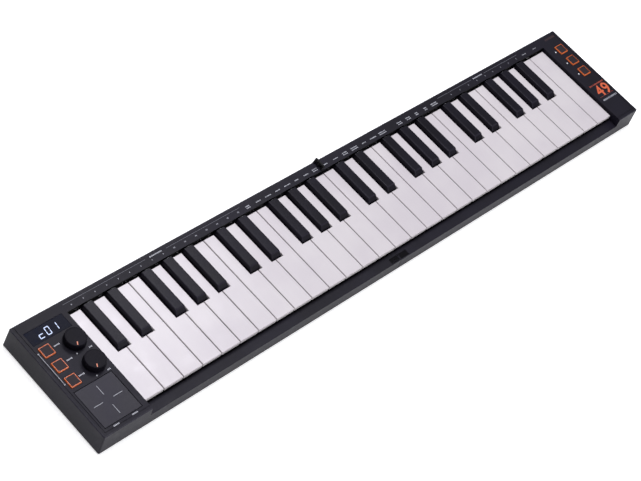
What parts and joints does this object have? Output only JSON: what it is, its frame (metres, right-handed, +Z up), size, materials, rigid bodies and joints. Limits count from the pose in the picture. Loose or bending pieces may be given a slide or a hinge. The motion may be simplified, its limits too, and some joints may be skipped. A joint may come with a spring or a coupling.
{
  "type": "folding midi keyboard",
  "caption": "Slim folding MIDI keyboard with slim piano keys, a hinge at mid-length, two knobs, square outlined buttons, a touch pad and a small display.",
  "frame": {"origin": "centre of the rectangle that the opened case covers, at the level that its feet stand on", "axes": "+X along the keys towards the treble end, +Y towards the rear edge behind the keys, +Z up"},
  "size_m": [0.6576, 0.1136, 0.0272],
  "materials": {
    "case_plastic": "fine-textured near-black plastic",
    "electronics": "boards, battery, display window and touch pad",
    "hardware_steel": "plain steel rods, pins and screws",
    "knob_plastic": "satin black plastic",
    "button_plastic": "dark caps with an orange outline",
    "key_white": "satin white plastic",
    "key_black": "satin black plastic"
  },
  "bodies": {
    "left_half": {"left_base_shell": "case_plastic", "left_top_shell": "case_plastic", "left_electronics": "electronics", "left_hardware": "hardware_steel"},
    "right_half": {"right_base_shell": "case_plastic", "right_top_shell": "case_plastic", "right_hardware": "hardware_steel"},
    "upper_knob": {"upper_knob": "knob_plastic"},
    "lower_knob": {"lower_knob": "knob_plastic"},
    "left_buttons": {"left_buttons": "button_plastic"},
    "right_buttons": {"right_buttons": "button_plastic"},
    "key_c_2": {"key_c_2": "key_white"},
    "key_c_sharp_2": {"key_c_sharp_2": "key_black"},
    "key_d_2": {"key_d_2": "key_white"},
    "key_d_sharp_2": {"key_d_sharp_2": "key_black"},
    "key_e_2": {"key_e_2": "key_white"},
    "key_f_2": {"key_f_2": "key_white"},
    "key_f_sharp_2": {"key_f_sharp_2": "key_black"},
    "key_g_2": {"key_g_2": "key_white"},
    "key_g_sharp_2": {"key_g_sharp_2": "key_black"},
    "key_a_2": {"key_a_2": "key_white"},
    "key_a_sharp_2": {"key_a_sharp_2": "key_black"},
    "key_b_2": {"key_b_2": "key_white"},
    "key_c_3": {"key_c_3": "key_white"},
    "key_c_sharp_3": {"key_c_sharp_3": "key_black"},
    "key_d_3": {"key_d_3": "key_white"},
    "key_d_sharp_3": {"key_d_sharp_3": "key_black"},
    "key_e_3": {"key_e_3": "key_white"},
    "key_f_3": {"key_f_3": "key_white"},
    "key_f_sharp_3": {"key_f_sharp_3": "key_black"},
    "key_g_3": {"key_g_3": "key_white"},
    "key_g_sharp_3": {"key_g_sharp_3": "key_black"},
    "key_a_3": {"key_a_3": "key_white"},
    "key_a_sharp_3": {"key_a_sharp_3": "key_black"},
    "key_b_3": {"key_b_3": "key_white"},
    "key_c_4": {"key_c_4": "key_white"},
    "key_c_sharp_4": {"key_c_sharp_4": "key_black"},
    "key_d_4": {"key_d_4": "key_white"},
    "key_d_sharp_4": {"key_d_sharp_4": "key_black"},
    "key_e_4": {"key_e_4": "key_white"},
    "key_f_4": {"key_f_4": "key_white"},
    "key_f_sharp_4": {"key_f_sharp_4": "key_black"},
    "key_g_4": {"key_g_4": "key_white"},
    "key_g_sharp_4": {"key_g_sharp_4": "key_black"},
    "key_a_4": {"key_a_4": "key_white"},
    "key_a_sharp_4": {"key_a_sharp_4": "key_black"},
    "key_b_4": {"key_b_4": "key_white"},
    "key_c_5": {"key_c_5": "key_white"},
    "key_c_sharp_5": {"key_c_sharp_5": "key_black"},
    "key_d_5": {"key_d_5": "key_white"},
    "key_d_sharp_5": {"key_d_sharp_5": "key_black"},
    "key_e_5": {"key_e_5": "key_white"},
    "key_f_5": {"key_f_5": "key_white"},
    "key_f_sharp_5": {"key_f_sharp_5": "key_black"},
    "key_g_5": {"key_g_5": "key_white"},
    "key_g_sharp_5": {"key_g_sharp_5": "key_black"},
    "key_a_5": {"key_a_5": "key_white"},
    "key_a_sharp_5": {"key_a_sharp_5": "key_black"},
    "key_b_5": {"key_b_5": "key_white"},
    "key_c_6": {"key_c_6": "key_white"}
  },
  "joints": [
    {"name": "case_fold", "type": "hinge", "parent": "left_half", "child": "right_half", "pos_m": [0, 0.0504, 0.0244], "axis": [0, -1, 0], "range_deg": [0, 180]},
    {"name": "upper_knob_turn", "type": "hinge", "parent": "left_half", "child": "upper_knob", "pos_m": [-0.2925, 0.022, 0.0244], "axis": [0, 0, -1], "range_deg": [0, 300]},
    {"name": "lower_knob_turn", "type": "hinge", "parent": "left_half", "child": "lower_knob", "pos_m": [-0.2925, -0.0011, 0.0244], "axis": [0, 0, -1], "range_deg": [0, 300]},
    {"name": "left_buttons_press", "type": "slide", "parent": "left_half", "child": "left_buttons", "axis": [0, 0, -1], "range_m": [0, 0.0007], "stiffness_N_per_m": 1500, "springref_m": -0.0004},
    {"name": "right_buttons_press", "type": "slide", "parent": "right_half", "child": "right_buttons", "axis": [0, 0, -1], "range_m": [0, 0.0007], "stiffness_N_per_m": 1500, "springref_m": -0.0004},
    {"name": "key_c_2_press", "type": "hinge", "parent": "left_half", "child": "key_c_2", "pos_m": [0, 0.0475, 0.0134], "axis": [1, 0, 0], "range_deg": [0, 2.4], "stiffness_Nm_per_rad": 0.6, "springref_deg": -2.29},
    {"name": "key_c_sharp_2_press", "type": "hinge", "parent": "left_half", "child": "key_c_sharp_2", "pos_m": [0, 0.0475, 0.0134], "axis": [1, 0, 0], "range_deg": [0, 3.3], "stiffness_Nm_per_rad": 0.6, "springref_deg": -2.29},
    {"name": "key_d_2_press", "type": "hinge", "parent": "left_half", "child": "key_d_2", "pos_m": [0, 0.0475, 0.0134], "axis": [1, 0, 0], "range_deg": [0, 2.4], "stiffness_Nm_per_rad": 0.6, "springref_deg": -2.29},
    {"name": "key_d_sharp_2_press", "type": "hinge", "parent": "left_half", "child": "key_d_sharp_2", "pos_m": [0, 0.0475, 0.0134], "axis": [1, 0, 0], "range_deg": [0, 3.3], "stiffness_Nm_per_rad": 0.6, "springref_deg": -2.29},
    {"name": "key_e_2_press", "type": "hinge", "parent": "left_half", "child": "key_e_2", "pos_m": [0, 0.0475, 0.0134], "axis": [1, 0, 0], "range_deg": [0, 2.4], "stiffness_Nm_per_rad": 0.6, "springref_deg": -2.29},
    {"name": "key_f_2_press", "type": "hinge", "parent": "left_half", "child": "key_f_2", "pos_m": [0, 0.0475, 0.0134], "axis": [1, 0, 0], "range_deg": [0, 2.4], "stiffness_Nm_per_rad": 0.6, "springref_deg": -2.29},
    {"name": "key_f_sharp_2_press", "type": "hinge", "parent": "left_half", "child": "key_f_sharp_2", "pos_m": [0, 0.0475, 0.0134], "axis": [1, 0, 0], "range_deg": [0, 3.3], "stiffness_Nm_per_rad": 0.6, "springref_deg": -2.29},
    {"name": "key_g_2_press", "type": "hinge", "parent": "left_half", "child": "key_g_2", "pos_m": [0, 0.0475, 0.0134], "axis": [1, 0, 0], "range_deg": [0, 2.4], "stiffness_Nm_per_rad": 0.6, "springref_deg": -2.29},
    {"name": "key_g_sharp_2_press", "type": "hinge", "parent": "left_half", "child": "key_g_sharp_2", "pos_m": [0, 0.0475, 0.0134], "axis": [1, 0, 0], "range_deg": [0, 3.3], "stiffness_Nm_per_rad": 0.6, "springref_deg": -2.29},
    {"name": "key_a_2_press", "type": "hinge", "parent": "left_half", "child": "key_a_2", "pos_m": [0, 0.0475, 0.0134], "axis": [1, 0, 0], "range_deg": [0, 2.4], "stiffness_Nm_per_rad": 0.6, "springref_deg": -2.29},
    {"name": "key_a_sharp_2_press", "type": "hinge", "parent": "left_half", "child": "key_a_sharp_2", "pos_m": [0, 0.0475, 0.0134], "axis": [1, 0, 0], "range_deg": [0, 3.3], "stiffness_Nm_per_rad": 0.6, "springref_deg": -2.29},
    {"name": "key_b_2_press", "type": "hinge", "parent": "left_half", "child": "key_b_2", "pos_m": [0, 0.0475, 0.0134], "axis": [1, 0, 0], "range_deg": [0, 2.4], "stiffness_Nm_per_rad": 0.6, "springref_deg": -2.29},
    {"name": "key_c_3_press", "type": "hinge", "parent": "left_half", "child": "key_c_3", "pos_m": [0, 0.0475, 0.0134], "axis": [1, 0, 0], "range_deg": [0, 2.4], "stiffness_Nm_per_rad": 0.6, "springref_deg": -2.29},
    {"name": "key_c_sharp_3_press", "type": "hinge", "parent": "left_half", "child": "key_c_sharp_3", "pos_m": [0, 0.0475, 0.0134], "axis": [1, 0, 0], "range_deg": [0, 3.3], "stiffness_Nm_per_rad": 0.6, "springref_deg": -2.29},
    {"name": "key_d_3_press", "type": "hinge", "parent": "left_half", "child": "key_d_3", "pos_m": [0, 0.0475, 0.0134], "axis": [1, 0, 0], "range_deg": [0, 2.4], "stiffness_Nm_per_rad": 0.6, "springref_deg": -2.29},
    {"name": "key_d_sharp_3_press", "type": "hinge", "parent": "left_half", "child": "key_d_sharp_3", "pos_m": [0, 0.0475, 0.0134], "axis": [1, 0, 0], "range_deg": [0, 3.3], "stiffness_Nm_per_rad": 0.6, "springref_deg": -2.29},
    {"name": "key_e_3_press", "type": "hinge", "parent": "left_half", "child": "key_e_3", "pos_m": [0, 0.0475, 0.0134], "axis": [1, 0, 0], "range_deg": [0, 2.4], "stiffness_Nm_per_rad": 0.6, "springref_deg": -2.29},
    {"name": "key_f_3_press", "type": "hinge", "parent": "left_half", "child": "key_f_3", "pos_m": [0, 0.0475, 0.0134], "axis": [1, 0, 0], "range_deg": [0, 2.4], "stiffness_Nm_per_rad": 0.6, "springref_deg": -2.29},
    {"name": "key_f_sharp_3_press", "type": "hinge", "parent": "left_half", "child": "key_f_sharp_3", "pos_m": [0, 0.0475, 0.0134], "axis": [1, 0, 0], "range_deg": [0, 3.3], "stiffness_Nm_per_rad": 0.6, "springref_deg": -2.29},
    {"name": "key_g_3_press", "type": "hinge", "parent": "left_half", "child": "key_g_3", "pos_m": [0, 0.0475, 0.0134], "axis": [1, 0, 0], "range_deg": [0, 2.4], "stiffness_Nm_per_rad": 0.6, "springref_deg": -2.29},
    {"name": "key_g_sharp_3_press", "type": "hinge", "parent": "left_half", "child": "key_g_sharp_3", "pos_m": [0, 0.0475, 0.0134], "axis": [1, 0, 0], "range_deg": [0, 3.3], "stiffness_Nm_per_rad": 0.6, "springref_deg": -2.29},
    {"name": "key_a_3_press", "type": "hinge", "parent": "left_half", "child": "key_a_3", "pos_m": [0, 0.0475, 0.0134], "axis": [1, 0, 0], "range_deg": [0, 2.4], "stiffness_Nm_per_rad": 0.6, "springref_deg": -2.29},
    {"name": "key_a_sharp_3_press", "type": "hinge", "parent": "left_half", "child": "key_a_sharp_3", "pos_m": [0, 0.0475, 0.0134], "axis": [1, 0, 0], "range_deg": [0, 3.3], "stiffness_Nm_per_rad": 0.6, "springref_deg": -2.29},
    {"name": "key_b_3_press", "type": "hinge", "parent": "left_half", "child": "key_b_3", "pos_m": [0, 0.0475, 0.0134], "axis": [1, 0, 0], "range_deg": [0, 2.4], "stiffness_Nm_per_rad": 0.6, "springref_deg": -2.29},
    {"name": "key_c_4_press", "type": "hinge", "parent": "right_half", "child": "key_c_4", "pos_m": [0, 0.0475, 0.0134], "axis": [1, 0, 0], "range_deg": [0, 2.4], "stiffness_Nm_per_rad": 0.6, "springref_deg": -2.29},
    {"name": "key_c_sharp_4_press", "type": "hinge", "parent": "right_half", "child": "key_c_sharp_4", "pos_m": [0, 0.0475, 0.0134], "axis": [1, 0, 0], "range_deg": [0, 3.3], "stiffness_Nm_per_rad": 0.6, "springref_deg": -2.29},
    {"name": "key_d_4_press", "type": "hinge", "parent": "right_half", "child": "key_d_4", "pos_m": [0, 0.0475, 0.0134], "axis": [1, 0, 0], "range_deg": [0, 2.4], "stiffness_Nm_per_rad": 0.6, "springref_deg": -2.29},
    {"name": "key_d_sharp_4_press", "type": "hinge", "parent": "right_half", "child": "key_d_sharp_4", "pos_m": [0, 0.0475, 0.0134], "axis": [1, 0, 0], "range_deg": [0, 3.3], "stiffness_Nm_per_rad": 0.6, "springref_deg": -2.29},
    {"name": "key_e_4_press", "type": "hinge", "parent": "right_half", "child": "key_e_4", "pos_m": [0, 0.0475, 0.0134], "axis": [1, 0, 0], "range_deg": [0, 2.4], "stiffness_Nm_per_rad": 0.6, "springref_deg": -2.29},
    {"name": "key_f_4_press", "type": "hinge", "parent": "right_half", "child": "key_f_4", "pos_m": [0, 0.0475, 0.0134], "axis": [1, 0, 0], "range_deg": [0, 2.4], "stiffness_Nm_per_rad": 0.6, "springref_deg": -2.29},
    {"name": "key_f_sharp_4_press", "type": "hinge", "parent": "right_half", "child": "key_f_sharp_4", "pos_m": [0, 0.0475, 0.0134], "axis": [1, 0, 0], "range_deg": [0, 3.3], "stiffness_Nm_per_rad": 0.6, "springref_deg": -2.29},
    {"name": "key_g_4_press", "type": "hinge", "parent": "right_half", "child": "key_g_4", "pos_m": [0, 0.0475, 0.0134], "axis": [1, 0, 0], "range_deg": [0, 2.4], "stiffness_Nm_per_rad": 0.6, "springref_deg": -2.29},
    {"name": "key_g_sharp_4_press", "type": "hinge", "parent": "right_half", "child": "key_g_sharp_4", "pos_m": [0, 0.0475, 0.0134], "axis": [1, 0, 0], "range_deg": [0, 3.3], "stiffness_Nm_per_rad": 0.6, "springref_deg": -2.29},
    {"name": "key_a_4_press", "type": "hinge", "parent": "right_half", "child": "key_a_4", "pos_m": [0, 0.0475, 0.0134], "axis": [1, 0, 0], "range_deg": [0, 2.4], "stiffness_Nm_per_rad": 0.6, "springref_deg": -2.29},
    {"name": "key_a_sharp_4_press", "type": "hinge", "parent": "right_half", "child": "key_a_sharp_4", "pos_m": [0, 0.0475, 0.0134], "axis": [1, 0, 0], "range_deg": [0, 3.3], "stiffness_Nm_per_rad": 0.6, "springref_deg": -2.29},
    {"name": "key_b_4_press", "type": "hinge", "parent": "right_half", "child": "key_b_4", "pos_m": [0, 0.0475, 0.0134], "axis": [1, 0, 0], "range_deg": [0, 2.4], "stiffness_Nm_per_rad": 0.6, "springref_deg": -2.29},
    {"name": "key_c_5_press", "type": "hinge", "parent": "right_half", "child": "key_c_5", "pos_m": [0, 0.0475, 0.0134], "axis": [1, 0, 0], "range_deg": [0, 2.4], "stiffness_Nm_per_rad": 0.6, "springref_deg": -2.29},
    {"name": "key_c_sharp_5_press", "type": "hinge", "parent": "right_half", "child": "key_c_sharp_5", "pos_m": [0, 0.0475, 0.0134], "axis": [1, 0, 0], "range_deg": [0, 3.3], "stiffness_Nm_per_rad": 0.6, "springref_deg": -2.29},
    {"name": "key_d_5_press", "type": "hinge", "parent": "right_half", "child": "key_d_5", "pos_m": [0, 0.0475, 0.0134], "axis": [1, 0, 0], "range_deg": [0, 2.4], "stiffness_Nm_per_rad": 0.6, "springref_deg": -2.29},
    {"name": "key_d_sharp_5_press", "type": "hinge", "parent": "right_half", "child": "key_d_sharp_5", "pos_m": [0, 0.0475, 0.0134], "axis": [1, 0, 0], "range_deg": [0, 3.3], "stiffness_Nm_per_rad": 0.6, "springref_deg": -2.29},
    {"name": "key_e_5_press", "type": "hinge", "parent": "right_half", "child": "key_e_5", "pos_m": [0, 0.0475, 0.0134], "axis": [1, 0, 0], "range_deg": [0, 2.4], "stiffness_Nm_per_rad": 0.6, "springref_deg": -2.29},
    {"name": "key_f_5_press", "type": "hinge", "parent": "right_half", "child": "key_f_5", "pos_m": [0, 0.0475, 0.0134], "axis": [1, 0, 0], "range_deg": [0, 2.4], "stiffness_Nm_per_rad": 0.6, "springref_deg": -2.29},
    {"name": "key_f_sharp_5_press", "type": "hinge", "parent": "right_half", "child": "key_f_sharp_5", "pos_m": [0, 0.0475, 0.0134], "axis": [1, 0, 0], "range_deg": [0, 3.3], "stiffness_Nm_per_rad": 0.6, "springref_deg": -2.29},
    {"name": "key_g_5_press", "type": "hinge", "parent": "right_half", "child": "key_g_5", "pos_m": [0, 0.0475, 0.0134], "axis": [1, 0, 0], "range_deg": [0, 2.4], "stiffness_Nm_per_rad": 0.6, "springref_deg": -2.29},
    {"name": "key_g_sharp_5_press", "type": "hinge", "parent": "right_half", "child": "key_g_sharp_5", "pos_m": [0, 0.0475, 0.0134], "axis": [1, 0, 0], "range_deg": [0, 3.3], "stiffness_Nm_per_rad": 0.6, "springref_deg": -2.29},
    {"name": "key_a_5_press", "type": "hinge", "parent": "right_half", "child": "key_a_5", "pos_m": [0, 0.0475, 0.0134], "axis": [1, 0, 0], "range_deg": [0, 2.4], "stiffness_Nm_per_rad": 0.6, "springref_deg": -2.29},
    {"name": "key_a_sharp_5_press", "type": "hinge", "parent": "right_half", "child": "key_a_sharp_5", "pos_m": [0, 0.0475, 0.0134], "axis": [1, 0, 0], "range_deg": [0, 3.3], "stiffness_Nm_per_rad": 0.6, "springref_deg": -2.29},
    {"name": "key_b_5_press", "type": "hinge", "parent": "right_half", "child": "key_b_5", "pos_m": [0, 0.0475, 0.0134], "axis": [1, 0, 0], "range_deg": [0, 2.4], "stiffness_Nm_per_rad": 0.6, "springref_deg": -2.29},
    {"name": "key_c_6_press", "type": "hinge", "parent": "right_half", "child": "key_c_6", "pos_m": [0, 0.0475, 0.0134], "axis": [1, 0, 0], "range_deg": [0, 2.4], "stiffness_Nm_per_rad": 0.6, "springref_deg": -2.29}
  ]
}
